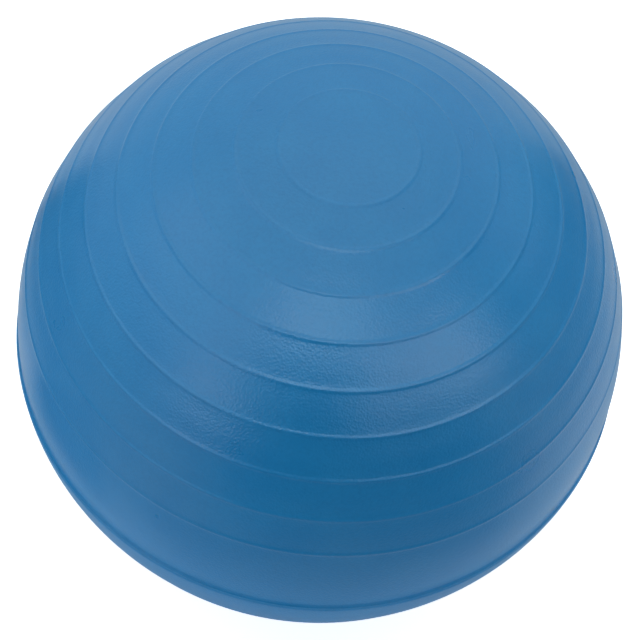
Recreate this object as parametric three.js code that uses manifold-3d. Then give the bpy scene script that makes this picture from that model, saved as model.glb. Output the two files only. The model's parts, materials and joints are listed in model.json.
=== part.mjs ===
// Inflatable ribbed exercise ball: one hollow moulded skin, the valve bush in its wall, and the air plug.
// Millimetres, +Z up. The origin is the middle of the flat patch that the ball rests on, and the valve
// is at the back, on the +Y side.

import * as THREE from "three";
import { mergeVertices } from "three/addons/utils/BufferGeometryUtils.js";
import Module from "manifold-3d";

const wasm = await Module();
wasm.setup();

// The skin. Angles are in degrees, seen from the middle of the ball.
const ballDiameter = 650;
const skinWall = 1;
const floorPatchRadius = 55; // where the ball's own weight flattens it

// Raised rings about the upright axis, the same on both halves.
const ringsPerHalf = 9;
const firstRingAngle = 11.5; // from the pole
const ringPitch = 7.1;
const ringPitchGrowth = 0.13; // each pitch is this much wider than the one before
const ringHeight = 0.7;
const ringHalfWidth = 3.5;

// The plain band round the middle. The skin steps out as it crosses the mould's parting line, so the
// lower half is the wider one there, and falls back slowly below it.
const stepHeight = 3.6;
const stepAngle = 0.8; // on each side of the parting line
const fallAngle = 20;
const partingHeight = 0.6;
const partingHalfWidth = 1.2;

// The valve, square to the skin. Heights along its axis start at the ball's radius.
const valveAngle = 80; // from the upper pole
const landMargin = 5; // how far the skin's flat round land reaches past the bush's lip
const landHeight = 0.8;
const bossDepth = 5; // how far the thick wall round the hole stands into the ball
const bossChamfer = 0.6;

// The bush, a spool that grips the edge of the hole in the skin.
const boreRadius = 5.2;
const bushWall = 3.5;
const lipOverlap = 5; // past the edge of the hole, on the outside
const lipThickness = 1.2;
const flangeOverlap = 4; // and on the inside
const flangeThickness = 1.5;

// The air plug.
const headOverlap = 5.8; // past the edge of the bore
const headThickness = 2.4;
const headChamfer = 0.5;
const headRim = 4.5; // flat ring round the dish in the head
const dishDepth = 0.7;
const stemLength = 31;
const barbPitch = 5;
const barbDepth = 0.6;
const stemTaper = 0.9; // how much thinner the stem is at its tip
const tipChamfer = 1;

const fitGap = 0.3; // left between pieces that touch

// How finely the round shapes are cut.
const skinSegments = 40;
const fittingSegments = 24;
const stepPoints = 2; // on each side of the parting line

const ballRadius = ballDiameter / 2;
const centreHeight = Math.sqrt(ballRadius ** 2 - floorPatchRadius ** 2);
const equator = 90;

const { degToRad, radToDeg } = THREE.MathUtils;

// How far the skin stands out past the ball's radius at an angle from the upper pole.
function stepAt(angle) {
  const past = angle - equator - stepAngle;
  const away = past < 0 ? -past / (2 * stepAngle) : past / fallAngle;
  return away < 1 ? (stepHeight * (1 + Math.cos(Math.PI * away))) / 2 : 0;
}

// A point of the skin's profile: x from the upright axis, y the height over the floor.
function onBall(angle, lift) {
  const radius = ballRadius + stepAt(angle) + lift;
  const turn = degToRad(angle);
  return new THREE.Vector2(radius * Math.sin(turn), centreHeight + radius * Math.cos(turn));
}

function ringAngles() {
  const angles = [];
  for (let k = 0; k < ringsPerHalf; k += 1) {
    angles.push(firstRingAngle + ringPitch * k + (ringPitchGrowth * k * (k - 1)) / 2);
  }
  return angles;
}

// Angles across the plain band, from the last ring to just short of the parting line.
function bandAngles(lastRing) {
  const stepStart = equator - stepAngle;
  const angles = [(lastRing + stepStart) / 2];
  for (let k = 0; k < stepPoints; k += 1) {
    angles.push(stepStart + (k * stepAngle) / stepPoints);
  }
  return angles;
}

// A low ridge: its foot, its crest and, with a second foot, its other side.
function ridge(angle, height, halfWidth) {
  const foot = radToDeg(halfWidth / ballRadius);
  return [
    [angle - foot, 0],
    [angle, height],
    [angle + foot, 0],
  ];
}

// Pairs of angle and lift down the upper half, with the other half as its mirror image.
function bothHalves(upper, middle) {
  const lower = upper.map(([angle, lift]) => [2 * equator - angle, lift]).reverse();
  return [...upper, ...middle, ...lower];
}

// Closes a profile on the upright axis with a flat foot at a height over the floor.
function onFloor(pairs, lift, floor) {
  const above = pairs.map(([angle, extra]) => onBall(angle, lift + extra)).filter((p) => p.y > floor);
  const reach = Math.sqrt((ballRadius + lift) ** 2 - (centreHeight - floor) ** 2);
  above.push(new THREE.Vector2(reach, floor));
  above.push(new THREE.Vector2(0, floor));
  above[0].x = 0;
  return above.reverse();
}

function outerProfile() {
  const rings = ringAngles();
  const upper = [
    [0, 0],
    [firstRingAngle / 2, 0],
  ];
  for (const angle of rings) {
    upper.push(...ridge(angle, ringHeight, ringHalfWidth));
  }
  for (const angle of bandAngles(rings.at(-1))) {
    upper.push([angle, 0]);
  }
  return onFloor(bothHalves(upper, ridge(equator, partingHeight, partingHalfWidth)), 0, 0);
}

function innerProfile() {
  const rings = ringAngles();
  const angles = [0, firstRingAngle / 2, ...rings, ...bandAngles(rings.at(-1))];
  const upper = angles.map((angle) => [angle, 0]);
  return onFloor(bothHalves(upper, [[equator, 0]]), -skinWall, skinWall);
}

// Turns a profile about +Z.
function revolve(points, segments) {
  const geometry = new THREE.LatheGeometry(points, segments);
  geometry.rotateX(Math.PI / 2);
  return geometry;
}

function pairsToPoints(pairs) {
  return pairs.map(([x, y]) => new THREE.Vector2(x, y));
}

function toSolid(geometry) {
  const bare = geometry.clone();
  bare.deleteAttribute("normal");
  bare.deleteAttribute("uv");
  const merged = mergeVertices(bare, 1e-4);
  const corners = merged.index.array;
  const triangles = [];
  for (let i = 0; i < corners.length; i += 3) {
    const [a, b, c] = corners.slice(i, i + 3);
    if (a !== b && b !== c && c !== a) {
      triangles.push(a, b, c);
    }
  }
  const mesh = new wasm.Mesh({
    numProp: 3,
    vertProperties: merged.attributes.position.array,
    triVerts: new Uint32Array(triangles),
  });
  return new wasm.Manifold(mesh);
}

function toGeometry(solid) {
  const { vertProperties, triVerts } = solid.getMesh();
  const geometry = new THREE.BufferGeometry();
  geometry.setAttribute("position", new THREE.BufferAttribute(vertProperties, 3));
  geometry.setIndex(new THREE.BufferAttribute(triVerts, 1));
  return geometry;
}

// The valve's own frame, +Z outwards, with its origin on the ball's nominal surface.
const valve = new THREE.Group();
valve.rotation.x = -degToRad(valveAngle);
valve.position.set(0, 0, ballRadius).applyEuler(valve.rotation);
valve.position.z += centreHeight;
valve.updateMatrixWorld(true);

const bushRadius = boreRadius + bushWall;
const bushHoleRadius = bushRadius + fitGap;
const lipRadius = bushHoleRadius + lipOverlap;
const landRadius = lipRadius + landMargin;
const bossBottom = -(skinWall + bossDepth);

function makeSkin() {
  const hollow = toSolid(revolve(outerProfile(), skinSegments)).subtract(
    toSolid(revolve(innerProfile(), skinSegments)),
  );
  const boss = revolve(
    pairsToPoints([
      [0, bossBottom],
      [landRadius - bossChamfer, bossBottom],
      [landRadius, bossBottom + bossChamfer],
      [landRadius, landHeight - bossChamfer],
      [landRadius - bossChamfer, landHeight],
      [0, landHeight],
    ]),
    2 * fittingSegments,
  ).applyMatrix4(valve.matrixWorld);
  const hole = revolve(
    pairsToPoints([
      [0, bossBottom - 1],
      [bushHoleRadius, bossBottom - 1],
      [bushHoleRadius, landHeight + 1],
      [0, landHeight + 1],
    ]),
    fittingSegments,
  ).applyMatrix4(valve.matrixWorld);
  return toGeometry(hollow.add(toSolid(boss)).subtract(toSolid(hole)));
}

const lipBottom = landHeight + fitGap;
const lipTop = lipBottom + lipThickness;

function makeBush() {
  const flangeRadius = bushHoleRadius + flangeOverlap;
  const flangeTop = bossBottom - fitGap;
  const flangeBottom = flangeTop - flangeThickness;
  return revolve(
    pairsToPoints([
      [boreRadius, flangeBottom],
      [flangeRadius, flangeBottom],
      [flangeRadius, flangeTop],
      [bushRadius, flangeTop],
      [bushRadius, lipBottom],
      [lipRadius, lipBottom],
      [lipRadius, lipTop],
      [boreRadius, lipTop],
      [boreRadius, flangeBottom],
    ]),
    fittingSegments,
  );
}

function makePlug() {
  const headBottom = lipTop + fitGap;
  const headTop = headBottom + headThickness;
  const tip = headBottom - stemLength;
  const rootRadius = boreRadius - fitGap;
  const radiusAt = (height) => rootRadius - (stemTaper * (headBottom - height)) / stemLength;
  const barbCount = Math.floor(stemLength / barbPitch) - 1; // the stretch under the head is plain
  const headRadius = boreRadius + headOverlap;
  const dishRadius = headRadius - headRim;
  const profile = [
    [0, tip],
    [radiusAt(tip) - barbDepth - tipChamfer, tip],
    [radiusAt(tip) - barbDepth, tip + tipChamfer],
  ];
  for (let k = 0; k < barbCount; k += 1) {
    const foot = tip + barbPitch * (k + 0.5);
    const crest = foot + barbPitch / 2;
    profile.push([radiusAt(foot) - barbDepth, foot]);
    profile.push([radiusAt(crest), crest]);
    profile.push([radiusAt(crest) - barbDepth, crest]);
  }
  profile.push([rootRadius - barbDepth, headBottom]);
  profile.push([headRadius - headChamfer, headBottom]);
  profile.push([headRadius, headBottom + headChamfer]);
  profile.push([headRadius, headTop - headChamfer]);
  profile.push([headRadius - headChamfer, headTop]);
  profile.push([dishRadius, headTop]);
  profile.push([dishRadius - dishDepth, headTop - dishDepth]);
  profile.push([0, headTop - dishDepth]);
  return revolve(pairsToPoints(profile), fittingSegments);
}

const bluePvc = new THREE.MeshStandardMaterial({ color: 0x2f74a8, roughness: 0.45, metalness: 0 });
const greyPvc = new THREE.MeshStandardMaterial({ color: 0x8f979d, roughness: 0.5, metalness: 0 });
const whitePlastic = new THREE.MeshStandardMaterial({ color: 0xe9eaea, roughness: 0.4, metalness: 0 });

function named(name, geometry, material) {
  const mesh = new THREE.Mesh(geometry, material);
  mesh.name = name;
  return mesh;
}

valve.add(named("valve_bush", makeBush(), greyPvc));
valve.add(named("air_plug", makePlug(), whitePlastic));

const ball = new THREE.Group();
ball.add(named("ball_skin", makeSkin(), bluePvc));
ball.add(valve);

export default ball;
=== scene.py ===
import json
from math import cos, degrees, pi, radians, sin, sqrt

import bmesh
import bpy
from mathutils import Matrix, Vector


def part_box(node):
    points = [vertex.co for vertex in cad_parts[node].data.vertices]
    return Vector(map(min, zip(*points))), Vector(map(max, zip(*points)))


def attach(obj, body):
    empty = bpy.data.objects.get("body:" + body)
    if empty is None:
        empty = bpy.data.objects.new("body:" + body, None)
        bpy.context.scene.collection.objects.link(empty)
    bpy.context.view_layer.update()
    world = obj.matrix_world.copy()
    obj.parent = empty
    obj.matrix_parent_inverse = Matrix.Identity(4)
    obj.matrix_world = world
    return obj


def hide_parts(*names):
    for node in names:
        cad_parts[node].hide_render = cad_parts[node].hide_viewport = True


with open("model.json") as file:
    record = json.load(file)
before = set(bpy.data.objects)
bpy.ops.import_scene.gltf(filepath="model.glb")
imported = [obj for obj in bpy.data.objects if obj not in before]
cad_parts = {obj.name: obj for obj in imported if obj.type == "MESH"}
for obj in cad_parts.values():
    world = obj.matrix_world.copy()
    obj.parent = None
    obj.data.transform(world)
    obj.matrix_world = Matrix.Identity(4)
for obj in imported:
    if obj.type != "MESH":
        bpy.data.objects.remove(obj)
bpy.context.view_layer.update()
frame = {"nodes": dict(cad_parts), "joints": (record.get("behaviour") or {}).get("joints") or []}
scene = bpy.context.scene
scene.view_settings.view_transform = "Standard"  # keeps the blue as clean as the pigment is
print("frame loaded:", ", ".join(sorted(frame["nodes"])))

# The ball, in metres. Angles are in degrees from the upper pole, seen from the ball's middle.
ball = {
    "radius": 0.325,
    "wall": 0.001,
    "restRounding": 0.0011,  # how softly the skin turns in to the flat it rests on
    "ringsPerHalf": 9,
    "firstRing": 11.5,
    "ringPitch": 7.1,
    "pitchGrowth": 0.13,
    "ringHeight": 0.0007,
    "ringHalfWidth": 0.0035,
    "equator": 90,  # where the mould's parting line runs
    "stepHeight": 0.0036,  # the lower half is this much wider at the parting line
    "stepAngle": 0.8,
    "fallAngle": 20,
    "partingHeight": 0.0006,
    "partingHalfWidth": 0.0012,
    "plainSpacing": 1.5,  # between the mesh's loops where the skin is plain
    "plainClear": 0.4,  # no plain loop is nearer to another than this part of the spacing
    "ridgeLoops": 4,  # on each side of a ridge's crest
    "stepLoops": 5,  # on each side of the parting line
    "segments": 256,
    "insideSpacing": 3.6,  # the inside of the wall is plain, so it needs fewer loops
    "insideStepLoops": 2,
}

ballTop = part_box("ball_skin")[1].z
ballCentre = Vector((0, 0, ballTop - ball["radius"]))


def facing(direction):  # the turn that brings +Z round to a direction
    return direction.to_track_quat("Z", "Y").to_matrix().to_4x4()


valveAxis = Vector(frame["joints"][0]["axis"]).normalized()
valvePlace = Matrix.Translation(ballCentre + ball["radius"] * valveAxis) @ facing(valveAxis)

view = {
    "elevation": 60,
    "distance": 1.56,
    "roll": 9.6,
    "lens": 79.8,
    "clip": (0.01, 100),
}


def placeCamera():
    camera = bpy.data.objects.new("camera", bpy.data.cameras.new("camera"))
    scene.collection.objects.link(camera)
    tilt = radians(view["elevation"])
    back = Vector((0, -cos(tilt), sin(tilt)))
    turned = facing(back) @ Matrix.Rotation(radians(view["roll"]), 4, "Z")
    camera.matrix_world = Matrix.Translation(ballCentre + view["distance"] * back) @ turned
    camera.data.lens = view["lens"]
    camera.data.clip_start, camera.data.clip_end = view["clip"]
    scene.camera = camera


placeCamera()
print("camera placed")


def toLinear(hexColour):
    channels = [int(hexColour[i : i + 2], 16) / 255 for i in (1, 3, 5)]
    return (*[c / 12.92 if c <= 0.04045 else ((c + 0.055) / 1.055) ** 2.4 for c in channels], 1)


def addNode(tree, kind, settings=None, links=None):
    node = tree.nodes.new("ShaderNode" + kind)
    for key, value in (settings or {}).items():
        if isinstance(key, int) or key in node.inputs:
            node.inputs[key].default_value = value
        else:
            setattr(node, key, value)
    for key, source in (links or {}).items():
        tree.links.new(source, node.inputs[key])
    return node


def startMaterial(name, settings):
    material = bpy.data.materials.new(name)
    material.use_nodes = True
    tree = material.node_tree
    shader = tree.nodes["Principled BSDF"]
    for key, value in settings.items():
        shader.inputs[key].default_value = value
    return material, tree, shader


def blendColours(tree, amount, low, high):  # low and high are colours or sockets
    mix = addNode(tree, "Mix", {"data_type": "RGBA"}, {0: amount})
    for socket, colour in zip(mix.inputs[6:8], (low, high)):  # the node's two colour sockets
        if isinstance(colour, tuple):
            socket.default_value = colour
        else:
            tree.links.new(colour, socket)
    return mix.outputs[2]


def spreadOut(tree, source, settings):  # stretches a socket's values over a new range
    return addNode(tree, "MapRange", settings, {"Value": source}).outputs["Result"]


# Soft PVC, rotation moulded: satin, from a mould with a fine leathery grain, the pigment a little cloudy.
skinFinish = {
    "blue": "#187ABA",
    "cloud": "#1B7FBE",
    "speck": "#1672B0",
    "ior": 1.53,
    "roughness": 0.3,
    "polished": -0.03,  # how far the roughness strays from cloud to cloud
    "rubbed": 0.05,
    "cloudSize": 0.07,
    "specksPerGrain": 0.6,
    "grainSize": 0.0022,  # coarser than moulded grain usually is, so that it shows from the camera
    "grainDepth": 0.00022,
    "wave": 0.05,  # the soft unevenness of a pumped-up skin
    "waveDepth": 0.0003,
}


def satinPvc():
    f = skinFinish
    material, tree, shader = startMaterial("satinPvc", {"IOR": f["ior"], "Metallic": 0.0})
    place = addNode(tree, "TexCoord").outputs["Object"]

    cloudNoise = {"Scale": 1 / f["cloudSize"], "Detail": 3, "Roughness": 0.55}
    clouds = addNode(tree, "TexNoise", cloudNoise, {"Vector": place}).outputs["Fac"]
    speckNoise = {"Scale": f["specksPerGrain"] / f["grainSize"], "Detail": 2, "Roughness": 0.6}
    specks = addNode(tree, "TexNoise", speckNoise, {"Vector": place}).outputs["Fac"]
    cloudy = spreadOut(tree, clouds, {"From Min": 0.35, "From Max": 0.7})
    specky = spreadOut(tree, specks, {"From Min": 0.4, "From Max": 0.75, "To Max": 0.5})
    base = blendColours(tree, cloudy, toLinear(f["blue"]), toLinear(f["cloud"]))
    tree.links.new(blendColours(tree, specky, base, toLinear(f["speck"])), shader.inputs["Base Color"])

    polish = {"To Min": f["roughness"] + f["polished"], "To Max": f["roughness"] + f["rubbed"]}
    polish.update({"From Min": 0.3, "From Max": 0.7})
    tree.links.new(spreadOut(tree, clouds, polish), shader.inputs["Roughness"])

    waves = addNode(tree, "TexNoise", {"Scale": 1 / f["wave"], "Detail": 1}, {"Vector": place})
    cells = {"feature": "SMOOTH_F1", "Scale": 1 / f["grainSize"], "Smoothness": 0.6}
    grain = addNode(tree, "TexVoronoi", cells, {"Vector": place})
    soft = addNode(tree, "Bump", {"Distance": f["waveDepth"]}, {"Height": waves.outputs["Fac"]})
    heights = {"Height": grain.outputs["Distance"], "Normal": soft.outputs["Normal"]}
    fine = addNode(tree, "Bump", {"Distance": f["grainDepth"]}, heights)
    tree.links.new(fine.outputs["Normal"], shader.inputs["Normal"])
    return material


def softHump(away):  # 1 in the middle, 0 from 1 outwards, and level at both
    return (1 + cos(pi * away)) / 2 if away < 1 else 0.0


def spunShape(profile, segments, closed=False):  # turns a profile of (radius, height) about +Z
    bm = bmesh.new()
    line = [bm.verts.new((r, 0, h)) for r, h in profile]
    edges = [bm.edges.new(pair) for pair in zip(line, line[1:] + (line[:1] if closed else []))]
    bmesh.ops.spin(
        bm, geom=line + edges, axis=(0, 0, 1), cent=(0, 0, 0), angle=2 * pi, steps=segments, use_merge=True
    )
    bmesh.ops.remove_doubles(bm, verts=bm.verts, dist=1e-6)
    bmesh.ops.recalc_face_normals(bm, faces=bm.faces)
    return bm


def softenEdges(bm, width, sharpest):  # rounds every edge sharper than that many degrees
    edges = [e for e in bm.edges if len(e.link_faces) == 2 and e.calc_face_angle(0) > radians(sharpest)]
    bmesh.ops.bevel(
        bm, geom=edges, offset=width, segments=3, profile=0.5, affect="EDGES", material=-1, clamp_overlap=True
    )


creaseAngle = 50  # edges sharper than this stay crisp in the shading


def makePiece(bm, name, material, body, node):
    mesh = bpy.data.meshes.new(name)
    bm.to_mesh(mesh)
    bm.free()
    for face in mesh.polygons:
        face.use_smooth = True
    mesh.set_sharp_from_angle(angle=radians(creaseAngle))
    mesh.materials.append(material)
    piece = bpy.data.objects.new(name, mesh)
    scene.collection.objects.link(piece)
    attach(piece, body)
    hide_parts(node)


# The skin round the valve: a flat land outside and a thick boss inside. Heights are along the valve,
# from the ball's radius.
valveLand = {
    "holeRadius": 0.009,
    "landRadius": 0.019,
    "landHeight": 0.0008,
    "flatRadius": 0.014,
    "blend": 0.0022,  # how far the land's edge runs out into the skin
    "blendIn": 0.0008,  # and in over the land
    "blendLoops": 8,
    "mouthEdge": 0.0004,  # the rounding where the hole opens outside
    "mouthCut": 0.0001,
    "bossBottom": -0.006,
    "bossMouth": 0.0003,  # and inside
    "bossEdge": 0.0006,
    "bossFillet": 0.0012,  # where the boss meets the wall
    "filletLoops": 4,
    "patchRadius": 0.0245,  # where the patch meets the spun skin, outside and in
    "patchGap": 0.001,  # cleared round it, to be filled with triangles
    "segments": 96,
}


def ringAngles():
    pitch, growth = ball["ringPitch"], ball["pitchGrowth"]
    upper = [ball["firstRing"] + pitch * k + growth * k * (k - 1) / 2 for k in range(ball["ringsPerHalf"])]
    return upper + [2 * ball["equator"] - angle for angle in reversed(upper)]


def inDegrees(length):  # the angle that a length covers on the ball
    return degrees(length / ball["radius"])


def stepLift(angle):
    past = angle - ball["equator"] - ball["stepAngle"]
    away = -past / (2 * ball["stepAngle"]) if past < 0 else past / ball["fallAngle"]
    return ball["stepHeight"] * softHump(away)


def skinLift(angle):
    lift = stepLift(angle)
    for ring in ringAngles():
        lift += ball["ringHeight"] * softHump(abs(angle - ring) / inDegrees(ball["ringHalfWidth"]))
    parting = softHump(abs(angle - ball["equator"]) / inDegrees(ball["partingHalfWidth"]))
    return lift + ball["partingHeight"] * parting


def stepAngles(loops):  # over the parting line's step, leaving out the line itself
    return [ball["equator"] + ball["stepAngle"] * k / loops for k in range(-loops, loops + 1) if k]


def evenAngles(spacing):  # from pole to pole
    steps = round(180 / spacing)
    return [180 * k / steps for k in range(steps + 1)]


def outerAngles():
    loops = ball["ridgeLoops"]
    ridges = [(angle, inDegrees(ball["ringHalfWidth"])) for angle in ringAngles()]
    ridges.append((ball["equator"], inDegrees(ball["partingHalfWidth"])))
    angles = [crest + half * k / loops for crest, half in ridges for k in range(-loops, loops + 1)]
    angles += stepAngles(ball["stepLoops"])
    clear = ball["plainClear"] * ball["plainSpacing"]
    plain = [p for p in evenAngles(ball["plainSpacing"]) if min(abs(p - a) for a in angles) > clear]
    return sorted(angles + plain)


def restOnFloor(height):  # the sphere's foot, pressed flat with a soft edge
    return (height + sqrt(height * height + ball["restRounding"] ** 2)) / 2


def ballProfile(angles, depth, lift):
    profile = []
    for angle in angles:
        radius = ball["radius"] - depth + lift(angle)
        height = ballCentre.z + radius * cos(radians(angle)) - depth
        profile.append((radius * sin(radians(angle)), restOnFloor(height) + depth))
    profile[0] = (0, profile[0][1])
    profile[-1] = (0, profile[-1][1])
    return profile


def onSphere(radius, sphere):  # height, along the valve, of a sphere round the ball's middle
    return sqrt(sphere * sphere - radius * radius) - ball["radius"]


def valvePatch():
    v = valveLand
    outside, inside = ball["radius"], ball["radius"] - ball["wall"]
    hole, land, top, bottom = v["holeRadius"], v["landRadius"], v["landHeight"], v["bossBottom"]
    profile = [(v["patchRadius"], onSphere(v["patchRadius"], outside))]
    for k in range(v["blendLoops"] + 1):
        t = k / v["blendLoops"]
        radius = land + v["blend"] * (1 - t) - v["blendIn"] * t
        rise = softHump(1 - t)
        profile.append((radius, onSphere(radius, outside) * (1 - rise) + top * rise))
    profile += [(v["flatRadius"], top), (hole + v["mouthEdge"], top)]
    profile += [(hole + v["mouthCut"], top - v["mouthCut"]), (hole, top - v["mouthEdge"])]
    profile += [(hole, bottom + v["bossMouth"]), (hole + v["bossMouth"], bottom)]
    profile += [(land - v["bossEdge"], bottom), (land, bottom + v["bossEdge"])]
    for k in range(v["filletLoops"] + 1):
        t = k / v["filletLoops"]
        radius = land + v["blend"] * t**2
        profile.append((radius, onSphere(radius, inside) - v["bossFillet"] * (1 - t) ** 2))
    profile.append((v["patchRadius"], onSphere(v["patchRadius"], inside)))
    patch = spunShape(profile, v["segments"])
    patch.transform(valvePlace)
    return patch


def offAxis(point):  # distance from the valve's axis, and a long way on the ball's far side
    away = point - ballCentre
    along = away.dot(valveAxis)
    return (away - along * valveAxis).length if along > 0 else 1.0


def mergeInto(bm, other):
    spare = bpy.data.meshes.new("spare")
    other.to_mesh(spare)
    other.free()
    bm.from_mesh(spare)
    bpy.data.meshes.remove(spare)


def makeSkin(material):
    bm = spunShape(ballProfile(outerAngles(), 0, skinLift), ball["segments"])
    inner = sorted(evenAngles(ball["insideSpacing"]) + stepAngles(ball["insideStepLoops"]))
    mergeInto(bm, spunShape(ballProfile(inner, ball["wall"], stepLift), ball["segments"] // 2))
    cleared = valveLand["patchRadius"] + valveLand["patchGap"]
    opened = [f for f in bm.faces if min(offAxis(v.co) for v in f.verts) < cleared]
    bmesh.ops.delete(bm, geom=opened, context="FACES")
    mergeInto(bm, valvePatch())
    rims = [e for e in bm.edges if e.is_boundary]
    split = ball["radius"] - ball["wall"] / 2
    for side in (1, -1):  # outside, then inside
        loop = [e for e in rims if side * ((e.verts[0].co - ballCentre).length - split) > 0]
        bmesh.ops.triangle_fill(bm, use_beauty=True, edges=loop, normal=valveAxis)
    bmesh.ops.recalc_face_normals(bm, faces=bm.faces)
    print("skin:", len(bm.faces), "faces, open edges:", sum(not e.is_manifold for e in bm.edges))
    makePiece(bm, "skin", material, "ball", "ball_skin")


makeSkin(satinPvc())

# Moulded soft PVC: the same plastic as the skin in grey, matt from a sand-blasted mould.
bushFinish = {
    "grey": "#8B9399",
    "dusty": "#979EA3",
    "ior": 1.53,
    "roughness": 0.52,
    "translucent": 0.0,
    "clouds": 0.006,
    "grainSize": 0.0004,
    "grainDepth": 0.00003,
}

# A spool that grips the edge of the skin's hole. Heights are along the valve, from the ball's radius.
bush = {
    "bore": 0.0052,
    "body": 0.0087,
    "flangeRadius": 0.013,
    "flange": (-0.0078, -0.0063),
    "lipRadius": 0.014,
    "lip": (0.0011, 0.0023),
    "bead": 0.0122,  # a fine raised bead round the lip, just outside the plug's head
    "beadHalfWidth": 0.0004,
    "beadHeight": 0.00025,
    "edge": 0.00035,
    "roundOver": 60,  # edges sharper than this are rounded
    "segments": 72,
}


def mattPlastic(name, finish):
    settings = {"IOR": finish["ior"], "Metallic": 0.0}
    settings.update({"Subsurface Weight": finish["translucent"], "Subsurface Scale": 0.001})
    material, tree, shader = startMaterial(name, settings)
    place = addNode(tree, "TexCoord").outputs["Object"]

    cloudNoise = {"Scale": 1 / finish["clouds"], "Detail": 4, "Roughness": 0.6}
    clouds = addNode(tree, "TexNoise", cloudNoise, {"Vector": place}).outputs["Fac"]
    cloudy = spreadOut(tree, clouds, {"From Min": 0.35, "From Max": 0.7})
    colour = blendColours(tree, cloudy, toLinear(finish["grey"]), toLinear(finish["dusty"]))
    tree.links.new(colour, shader.inputs["Base Color"])

    polish = {"To Min": finish["roughness"] - 0.06, "To Max": finish["roughness"] + 0.06}
    tree.links.new(spreadOut(tree, clouds, polish), shader.inputs["Roughness"])

    grain = addNode(tree, "TexNoise", {"Scale": 1 / finish["grainSize"], "Detail": 2}, {"Vector": place})
    bump = addNode(tree, "Bump", {"Distance": finish["grainDepth"]}, {"Height": grain.outputs["Fac"]})
    tree.links.new(bump.outputs["Normal"], shader.inputs["Normal"])
    return material


def makeBush(material):
    b = bush
    flangeBottom, flangeTop = b["flange"]
    lipBottom, lipTop = b["lip"]
    profile = [(b["bore"], flangeBottom), (b["flangeRadius"], flangeBottom), (b["flangeRadius"], flangeTop)]
    profile += [(b["body"], flangeTop), (b["body"], lipBottom), (b["lipRadius"], lipBottom)]
    profile += [(b["lipRadius"], lipTop), (b["bead"] + b["beadHalfWidth"], lipTop)]
    profile += [(b["bead"], lipTop + b["beadHeight"]), (b["bead"] - b["beadHalfWidth"], lipTop)]
    profile.append((b["bore"], lipTop))
    bm = spunShape(profile, b["segments"], closed=True)
    softenEdges(bm, b["edge"], b["roundOver"])
    bm.transform(valvePlace)
    makePiece(bm, "bush", material, "ball", "valve_bush")


makeBush(mattPlastic("greyPvc", bushFinish))
print("bush made")

# Moulded polyethylene: waxy white that lets a little light in, so its edges look soft.
plugFinish = {
    "grey": "#D6D8D6",
    "dusty": "#CBCBC6",
    "ior": 1.51,
    "roughness": 0.42,
    "translucent": 0.15,
    "clouds": 0.008,
    "grainSize": 0.0006,
    "grainDepth": 0.00002,
}

plug = {
    "headRadius": 0.011,
    "head": (0.0026, 0.0050),
    "headChamfer": 0.0005,
    "dishRadius": 0.0065,
    "dishDepth": 0.0007,
    "gateRadius": 0.0011,  # the moulding's gate mark, a low pip in the middle of the dish
    "gateSlope": 0.0002,
    "gateHeight": 0.0003,
    "stemRadius": 0.0049,
    "stemLength": 0.031,
    "stemTaper": 0.0009,
    "barbs": 5,
    "barbPitch": 0.005,
    "barbDepth": 0.0006,
    "tipChamfer": 0.001,
    "grips": 40,  # shallow flutes round the head's edge, for a fingernail
    "gripDepth": 0.00022,
    "gripReach": 0.0001,  # only points this near the head's edge are pressed in
    "gripLine": 0.99999,  # and this nearly in line with the flute, as a cosine
    "edge": 0.00018,
    "roundOver": 40,
    "segments": 160,
}


def stemAt(height):  # the stem's radius over its barbs
    headBottom = plug["head"][0]
    return plug["stemRadius"] - plug["stemTaper"] * (headBottom - height) / plug["stemLength"]


def plugProfile():
    p = plug
    headBottom, headTop = p["head"]
    tip = headBottom - p["stemLength"]
    tipRadius = stemAt(tip) - p["barbDepth"]
    profile = [(0, tip), (tipRadius - p["tipChamfer"], tip), (tipRadius, tip + p["tipChamfer"])]
    for k in range(p["barbs"]):
        foot = tip + p["barbPitch"] * (k + 0.5)
        crest = foot + p["barbPitch"] / 2
        profile += [(stemAt(foot) - p["barbDepth"], foot), (stemAt(crest), crest)]
        profile.append((stemAt(crest) - p["barbDepth"], crest))
    rim, cut = p["headRadius"], p["headChamfer"]
    profile += [(p["stemRadius"] - p["barbDepth"], headBottom), (rim - cut, headBottom)]
    profile += [(rim, headBottom + cut), (rim, headTop - cut), (rim - cut, headTop)]
    dishFloor = headTop - p["dishDepth"]
    gateTop = dishFloor + p["gateHeight"]
    profile += [(p["dishRadius"], headTop), (p["dishRadius"] - p["dishDepth"], dishFloor)]
    profile += [(p["gateRadius"] + p["gateSlope"], dishFloor), (p["gateRadius"], gateTop), (0, gateTop)]
    return profile


def makePlug(material):
    p = plug
    bm = spunShape(plugProfile(), p["segments"])
    edge = [v for v in bm.verts if v.co.xy.length > p["headRadius"] - p["gripReach"]]
    for index in range(p["grips"]):  # every fourth column of the head's edge is pressed in
        around = 2 * pi * index / p["grips"]
        towards = Vector((cos(around), sin(around), 0))
        column = [v for v in edge if v.co.xy.normalized().dot(towards.xy) > p["gripLine"]]
        bmesh.ops.translate(bm, verts=column, vec=-p["gripDepth"] * towards)
    softenEdges(bm, p["edge"], p["roundOver"])
    bm.transform(valvePlace)
    makePiece(bm, "plug", material, "plug", "air_plug")


makePlug(mattPlastic("whitePolyethylene", plugFinish))
print("plug made")

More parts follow.
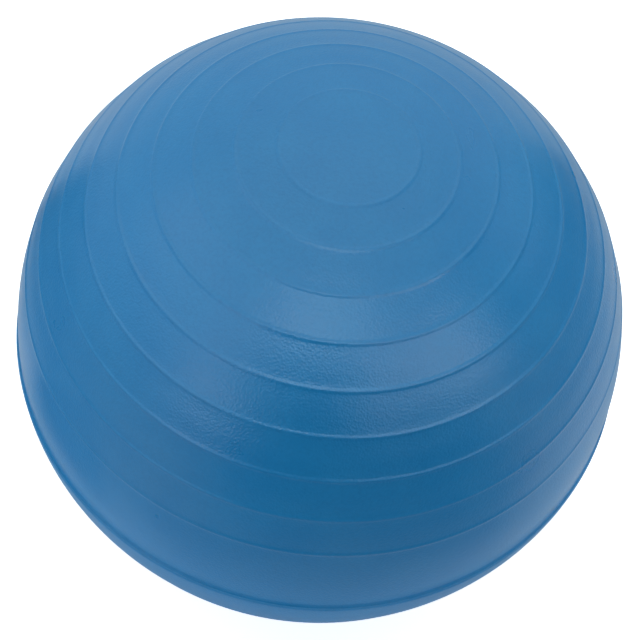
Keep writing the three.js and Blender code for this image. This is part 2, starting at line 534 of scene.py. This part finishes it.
studio = {
    "floor": "#F0F0EF",
    "floorSize": 20,
    "frontShadeInGloss": "#606060",  # painted shade: the ball's gloss sees the floor greyer, most of all in front of it, a shaded copy of the pale floor standing in for the dim front of the studio
    "sideShadeInGloss": "#DCDCDC",
    "greyTo": (-0.65, -0.05),
    "floorGlow": 1.35,  # light thrown up on to the ball
    "glowUnder": 0.1,  # little of it comes from right under the ball
    "glowFrom": (0.12, 0.6),
    "floorWhite": 0.68,  # for the camera alone, so the floor shows plain white
    "backdrop": 1.0,
    # The room's light by the height looked at, 1 being straight up: warmer above, cooler low down.
    "glow": (
        (0.0, (0.38, 0.41, 0.45)),
        (0.35, (0.72, 0.74, 0.76)),
        (0.7, (0.66, 0.70, 0.65)),
        (0.87, (0.76, 0.79, 0.71)),
        (0.98, (0.78, 0.82, 0.73)),
    ),
    "darkTowards": (0.616, -0.788, 0.0),  # the unlit side of the studio
    "darkWidth": (0.25, 0.6),
    "darkTop": (0.45, 0.85),
    "fillTowards": (-0.12, 0.52, 0.846),  # soft light from above and behind, seen by matt surfaces alone
    "fillWidth": (0.4, 1.0),
    "fill": 1.7,
    "roomInFill": 0.3,
}

# Dark cards round the ball, by degrees round from the front. They show only in its gloss, but for
# dimFlag, which only keeps stray light off it.
flags = {
    "frontFlag": {"radius": 0.72, "bottom": 0.002, "top": 0.54, "from": -45, "to": 60},
    "dimFlag": {"radius": 0.75, "bottom": 0.18, "top": 0.52, "from": -22, "to": 60},
    "leftFlag": {"radius": 0.5, "bottom": 0.002, "top": 0.54, "from": -78, "to": -45},
    "farLeftFlag": {"radius": 0.5, "bottom": 0.2, "top": 0.5, "from": -112, "to": -78},
    "rightFlag": {"radius": 0.9, "bottom": 0.2, "top": 0.7, "from": 73, "to": 140},
}
flagSteps = 24

# Softboxes, by degrees round from the front, degrees up, and their width and height.
softboxes = {
    "high": {"around": 1, "up": 59, "size": (1.3, 0.5), "watts": 5.8, "tint": (0.95, 1.0, 0.9)},
    "left": {"around": -68, "up": 42, "size": (2.6, 1.1), "watts": 5.8},
    "leftLow": {"around": -32, "up": 21.5, "size": (0.8, 0.3), "watts": 1.9},
    "right": {"around": 65, "up": 29, "size": (0.85, 0.6), "watts": 3.6},
    "rightHigh": {"around": 48, "up": 42, "size": (1.5, 0.35), "watts": 4.6},
    "rightLow": {"around": 36, "up": 28, "size": (1.2, 0.3), "watts": 1.6},
    "back": {"around": 180, "up": 62, "size": (2.4, 1.5), "watts": 1.6, "tint": (0.95, 1.0, 0.9)},
}
boxDistance = 2.2


def addStage(bm, name, material):
    mesh = bpy.data.meshes.new(name)
    bm.to_mesh(mesh)
    bm.free()
    mesh.materials.append(material)
    thing = bpy.data.objects.new(name, mesh)
    scene.collection.objects.link(thing)
    return thing


def makeFloor():
    s = studio
    pale = toLinear(s["floor"])
    settings = {"Base Color": pale, "Roughness": 0.9, "Emission Color": (1, 1, 1, 1)}
    material, tree, shader = startMaterial("paleFloor", settings)
    rays = addNode(tree, "LightPath")
    spot = addNode(tree, "TexCoord").outputs["Object"]

    place = addNode(tree, "SeparateXYZ", links={"Vector": spot})
    beside = spreadOut(tree, place.outputs["Y"], {"From Min": s["greyTo"][0], "From Max": s["greyTo"][1]})
    # painted shade: in the ball's gloss the floor's colour is a greyer copy, darkest in front, standing in
    # for the dim front of the studio
    shadedInGloss = blendColours(tree, beside, toLinear(s["frontShadeInGloss"]), toLinear(s["sideShadeInGloss"]))
    seen = blendColours(tree, rays.outputs["Is Glossy Ray"], pale, shadedInGloss)
    tree.links.new(seen, shader.inputs["Base Color"])

    times = {"operation": "MULTIPLY", 1: s["floorWhite"]}
    white = addNode(tree, "Math", times, {0: rays.outputs["Is Camera Ray"]})
    away = addNode(tree, "VectorMath", {"operation": "LENGTH"}, {0: spot})
    rise = {"From Min": s["glowFrom"][0], "From Max": s["glowFrom"][1]}
    rise.update({"To Min": s["glowUnder"] * s["floorGlow"], "To Max": s["floorGlow"]})
    thrown = spreadOut(tree, away.outputs["Value"], rise)
    parts = {0: rays.outputs["Is Diffuse Ray"], 1: thrown, 2: white.outputs[0]}
    glow = addNode(tree, "Math", {"operation": "MULTIPLY_ADD"}, parts)
    tree.links.new(glow.outputs[0], shader.inputs["Emission Strength"])

    bm = bmesh.new()
    bmesh.ops.create_grid(bm, x_segments=4, y_segments=4, size=s["floorSize"])
    addStage(bm, "floor", material)


def makeFlags():
    settings = {"Base Color": (0.012, 0.012, 0.012, 1), "Roughness": 0.9}
    material = startMaterial("darkCard", settings)[0]
    for name, card in flags.items():
        bm = bmesh.new()
        ends = [bm.verts.new((0, -card["radius"], height)) for height in (card["bottom"], card["top"])]
        upright = bm.edges.new(ends)
        start = Matrix.Rotation(radians(card["from"]), 3, "Z")
        bmesh.ops.rotate(bm, verts=ends, cent=(0, 0, 0), matrix=start)
        turn = radians(card["to"] - card["from"])
        bmesh.ops.spin(bm, geom=ends + [upright], axis=(0, 0, 1), cent=(0, 0, 0), angle=turn, steps=flagSteps)
        flag = addStage(bm, name, material)
        flag.visible_camera = flag.visible_shadow = False
        flag.visible_diffuse = name == "dimFlag"
        flag.visible_glossy = not flag.visible_diffuse


def smoothly(tree, source, span, settings=None):  # a soft change over a span of the source's values
    ends = {"interpolation_type": "SMOOTHSTEP", "From Min": span[0], "From Max": span[1]}
    return spreadOut(tree, source, {**ends, **(settings or {})})


def makeWorld():
    s = studio
    world = bpy.data.worlds.new("studio")
    scene.world = world
    world.use_nodes = True
    tree = world.node_tree
    looking = addNode(tree, "TexCoord").outputs["Generated"]
    height = addNode(tree, "SeparateXYZ", links={"Vector": looking}).outputs["Z"]

    ramp = addNode(tree, "ValToRGB", links={"Fac": height})
    ramp.color_ramp.interpolation = "EASE"
    points = ramp.color_ramp.elements
    while len(points) < len(s["glow"]):
        points.new(0.5)
    for point, (at, colour) in zip(points, s["glow"]):
        point.position = at
        point.color = (*colour, 1)

    ahead = addNode(tree, "VectorMath", {"operation": "DOT_PRODUCT", 1: s["darkTowards"]}, {0: looking})
    dark = smoothly(tree, ahead.outputs["Value"], s["darkWidth"])
    low = smoothly(tree, height, s["darkTop"], {"To Min": 1, "To Max": 0})
    gap = addNode(tree, "Math", {"operation": "MULTIPLY"}, {0: dark, 1: low})
    kept = addNode(tree, "Math", {"operation": "SUBTRACT", 0: 1}, {1: gap.outputs[0]}).outputs[0]

    behind = addNode(tree, "VectorMath", {"operation": "DOT_PRODUCT", 1: s["fillTowards"]}, {0: looking})
    fill = smoothly(tree, behind.outputs["Value"], s["fillWidth"], {"To Max": s["fill"]})
    dimmed = {"operation": "MULTIPLY_ADD", 1: s["roomInFill"]}
    matt = addNode(tree, "Math", dimmed, {0: kept, 2: fill}).outputs[0]

    rays = addNode(tree, "LightPath")
    camera = rays.outputs["Is Camera Ray"]
    sides = {"Factor": rays.outputs["Is Diffuse Ray"], "A": kept, "B": matt}
    room = addNode(tree, "Mix", {"data_type": "FLOAT"}, sides).outputs["Result"]
    plain = {"data_type": "FLOAT", "B": s["backdrop"]}
    strength = addNode(tree, "Mix", plain, {"Factor": camera, "A": room}).outputs["Result"]
    background = tree.nodes["Background"]
    tree.links.new(strength, background.inputs["Strength"])
    seen = blendColours(tree, camera, ramp.outputs["Color"], (1, 1, 1, 1))
    tree.links.new(seen, background.inputs["Color"])


def hangLights():
    for name, box in softboxes.items():
        lamp = bpy.data.lights.new(name, "AREA")
        lamp.shape = "RECTANGLE"
        lamp.size, lamp.size_y = box["size"]
        lamp.energy = box["watts"]
        lamp.color = box.get("tint", (1.0, 1.0, 1.0))
        hung = bpy.data.objects.new(name, lamp)
        scene.collection.objects.link(hung)
        around, up = radians(box["around"]), radians(box["up"])
        towards = Vector((sin(around) * cos(up), -cos(around) * cos(up), sin(up)))
        hung.matrix_world = Matrix.Translation(ballCentre + boxDistance * towards) @ facing(towards)
        hung.visible_camera = False
        hung.visible_diffuse = name != "high"  # that one is only there for its gleam


makeFloor()
makeFlags()
makeWorld()
hangLights()
print("stage lit")
